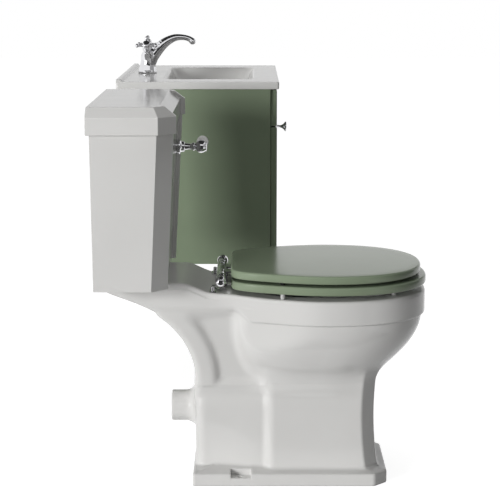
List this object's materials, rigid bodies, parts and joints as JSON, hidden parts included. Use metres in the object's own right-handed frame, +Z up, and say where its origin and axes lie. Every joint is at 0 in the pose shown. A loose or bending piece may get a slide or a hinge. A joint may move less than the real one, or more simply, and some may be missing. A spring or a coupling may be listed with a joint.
{
  "type": "toilet and vanity suite",
  "caption": "Close-coupled toilet with lever cistern and bar-hinged seat, beside a wall-hung basin vanity with one deep drawer and a crosshead mixer tap.",
  "frame": {"origin": "middle of the pair's footprint on the floor", "axes": "+X from the toilet to the vanity, along the wall; +Y towards the wall, so the fronts face -Y; +Z up"},
  "size_m": [1.307, 0.699, 0.9114],
  "materials": {
    "vitreous_china": "glossy white glaze",
    "porcelain_grip": "glossy white glaze",
    "painted_timber": "satin grey-green paint",
    "drawer_board": "pale sealed birch",
    "chrome": "polished",
    "steel": "zinc plated",
    "brass": "turned",
    "white_plastic": "moulded white",
    "rubber": "moulded black"
  },
  "bodies": {
    "frame": {"toilet_pan": "vitreous_china", "cistern_tank": "vitreous_china", "basin": "vitreous_china", "cabinet_left_side": "painted_timber", "cabinet_right_side": "painted_timber", "cabinet_bottom": "painted_timber", "cabinet_back_rail": "painted_timber", "cabinet_front_rail": "painted_timber", "fascia_panel": "painted_timber", "lever_rose": "chrome", "hinge_rod": "chrome", "hinge_finials": "chrome", "hinge_pillars": "chrome", "tap_body": "chrome", "waste_body": "chrome", "coupling_bolts": "steel", "coupling_nuts": "steel", "hinge_studs": "steel", "hinge_nuts": "steel", "hanging_brackets": "steel", "runner_rails": "steel", "tap_fixing_stud": "steel", "tap_fixing_nut": "steel", "tap_valves": "brass", "siphon_body": "white_plastic", "siphon_nut": "white_plastic", "fill_valve_body": "white_plastic", "fill_valve_nut": "white_plastic", "waste_nut": "white_plastic", "trap_body": "white_plastic", "trap_outlet_pipe": "white_plastic", "lever_back_nut": "white_plastic", "coupling_seal": "rubber"},
    "cistern_lid": {"cistern_lid": "vitreous_china"},
    "flush_lever": {"lever_handle": "chrome", "lever_knob": "porcelain_grip", "lever_lift_arm": "steel"},
    "siphon_lift": {"siphon_lift_rod": "steel", "siphon_plate": "white_plastic"},
    "float": {"float_arm": "steel", "cistern_float": "white_plastic"},
    "seat_ring": {"seat_ring": "painted_timber", "ring_buffers": "rubber", "ring_brackets": "chrome"},
    "seat_lid": {"seat_lid": "painted_timber", "lid_buffers": "rubber", "lid_brackets": "chrome"},
    "drawer": {"drawer_front": "painted_timber", "drawer_left_side": "drawer_board", "drawer_right_side": "drawer_board", "drawer_back": "drawer_board", "drawer_bottom": "drawer_board", "runner_slides": "steel", "drawer_knob": "chrome", "knob_screw": "steel"},
    "tap_left_handle": {"tap_left_handle": "chrome"},
    "tap_right_handle": {"tap_right_handle": "chrome"},
    "waste_plug": {"waste_plug": "chrome"}
  },
  "joints": [
    {"name": "cistern_lid_lift", "type": "slide", "parent": "frame", "child": "cistern_lid", "axis": [0, 0, 1], "range_m": [0, 0.15]},
    {"name": "flush_lever_turn", "type": "hinge", "parent": "frame", "child": "flush_lever", "pos_m": [-0.2915, 0.1335, 0.696], "axis": [0, 1, 0], "range_deg": [0, 35], "stiffness_Nm_per_rad": 0.5, "springref_deg": -20.05},
    {"name": "siphon_rod_lift", "type": "slide", "parent": "frame", "child": "siphon_lift", "axis": [0, 0, 1], "range_m": [0, 0.026]},
    {"name": "float_swing", "type": "hinge", "parent": "frame", "child": "float", "pos_m": [-0.2365, 0.3048, 0.636], "axis": [0, 1, 0], "range_deg": [0, 25]},
    {"name": "seat_ring_hinge", "type": "hinge", "parent": "frame", "child": "seat_ring", "pos_m": [-0.4115, 0.087, 0.443], "axis": [1, 0, 0], "range_deg": [-90, 0]},
    {"name": "seat_lid_hinge", "type": "hinge", "parent": "seat_ring", "child": "seat_lid", "pos_m": [-0.4115, 0.087, 0.443], "axis": [-1, 0, 0], "range_deg": [0, 90]},
    {"name": "drawer_slide", "type": "slide", "parent": "frame", "child": "drawer", "axis": [0, -1, 0], "range_m": [0, 0.25]},
    {"name": "tap_left_turn", "type": "hinge", "parent": "frame", "child": "tap_left_handle", "pos_m": [0.3535, 0.2925, 0.851], "axis": [-0.766, 0, 0.6428], "range_deg": [0, 90]},
    {"name": "tap_right_turn", "type": "hinge", "parent": "frame", "child": "tap_right_handle", "pos_m": [0.3535, 0.2925, 0.851], "axis": [0.766, 0, 0.6428], "range_deg": [0, 90]},
    {"name": "waste_plug_lift", "type": "slide", "parent": "frame", "child": "waste_plug", "axis": [0, 0, 1], "range_m": [0, 0.01]}
  ],
  "couplings": [
    {"joint": "siphon_rod_lift", "follows": "flush_lever_turn", "m_per_rad": 0.0413}
  ]
}
